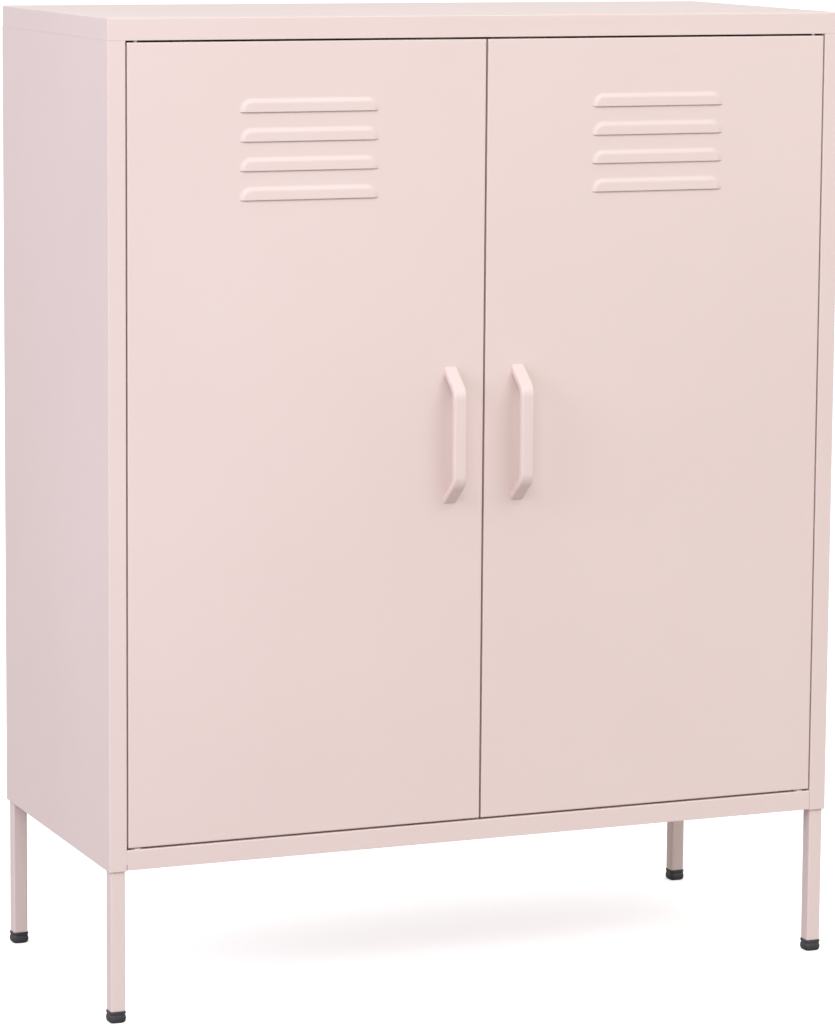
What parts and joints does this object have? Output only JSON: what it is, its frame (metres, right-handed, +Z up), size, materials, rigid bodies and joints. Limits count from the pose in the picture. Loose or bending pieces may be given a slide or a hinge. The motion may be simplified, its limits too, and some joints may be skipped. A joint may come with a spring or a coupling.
{
  "type": "locker cabinet",
  "caption": "Steel locker cabinet with louvred inset doors, bent bar pulls, adjustable shelves inside and slim square legs on plastic feet.",
  "frame": {"origin": "on the floor, at the middle of the overall width and of the overall depth from the handles' grips to the screw heads on the back", "axes": "+Z up, -Y out of the doors (the front), +X to the right as seen from the front"},
  "size_m": [0.8, 0.38, 1],
  "materials": {
    "pink_powder_coat": "satin powder coat in pale pink with a very fine orange-peel texture",
    "black_plastic": "matt moulded polyethylene",
    "white_nylon": "semi-matt moulded nylon",
    "white_plastic": "matt moulded plastic",
    "ferrite_magnet": "dark grey sintered ferrite",
    "zinc_plated_steel": "bright zinc plating",
    "spring_steel": "drawn spring wire"
  },
  "bodies": {
    "carcass": {"back_panel": "pink_powder_coat", "back_panel_screws": "zinc_plated_steel", "bottom_panel": "pink_powder_coat", "bottom_panel_nuts": "zinc_plated_steel", "bottom_panel_screws": "zinc_plated_steel", "catch_screws": "zinc_plated_steel", "front_left_foot": "black_plastic", "front_left_leg": "pink_powder_coat", "front_right_foot": "black_plastic", "front_right_leg": "pink_powder_coat", "left_catch_housing": "white_plastic", "left_catch_magnet": "ferrite_magnet", "left_catch_poles": "zinc_plated_steel", "left_front_upright": "pink_powder_coat", "left_lower_pivot_bush": "white_nylon", "left_rear_upright": "pink_powder_coat", "left_side_panel": "pink_powder_coat", "left_upper_pivot_bush": "white_nylon", "leg_screws": "zinc_plated_steel", "lower_shelf": "pink_powder_coat", "lower_shelf_clips": "zinc_plated_steel", "rear_left_foot": "black_plastic", "rear_left_leg": "pink_powder_coat", "rear_right_foot": "black_plastic", "rear_right_leg": "pink_powder_coat", "right_catch_housing": "white_plastic", "right_catch_magnet": "ferrite_magnet", "right_catch_poles": "zinc_plated_steel", "right_front_upright": "pink_powder_coat", "right_lower_pivot_bush": "white_nylon", "right_rear_upright": "pink_powder_coat", "right_side_panel": "pink_powder_coat", "right_upper_pivot_bush": "white_nylon", "top_panel": "pink_powder_coat", "top_panel_nuts": "zinc_plated_steel", "top_panel_screws": "zinc_plated_steel", "upper_shelf": "pink_powder_coat", "upper_shelf_clips": "zinc_plated_steel"},
    "left_leaf": {"left_door_edge": "pink_powder_coat", "left_door_face": "pink_powder_coat", "left_door_handle": "pink_powder_coat", "left_door_handle_screws": "zinc_plated_steel", "left_door_lower_pin": "zinc_plated_steel", "left_door_pin_bracket": "zinc_plated_steel", "left_door_pin_spring": "spring_steel", "left_door_stiffener": "pink_powder_coat", "left_door_upper_pin": "zinc_plated_steel"},
    "right_leaf": {"right_door_edge": "pink_powder_coat", "right_door_face": "pink_powder_coat", "right_door_handle": "pink_powder_coat", "right_door_handle_screws": "zinc_plated_steel", "right_door_lower_pin": "zinc_plated_steel", "right_door_pin_bracket": "zinc_plated_steel", "right_door_pin_spring": "spring_steel", "right_door_stiffener": "pink_powder_coat", "right_door_upper_pin": "zinc_plated_steel"}
  },
  "joints": [
    {"name": "left_door_hinge", "type": "hinge", "parent": "carcass", "child": "left_leaf", "pos_m": [-0.37, -0.156, 0.577], "axis": [0, 0, -1], "range_deg": [0, 120]},
    {"name": "right_door_hinge", "type": "hinge", "parent": "carcass", "child": "right_leaf", "pos_m": [0.37, -0.156, 0.577], "axis": [0, 0, 1], "range_deg": [0, 120]}
  ]
}
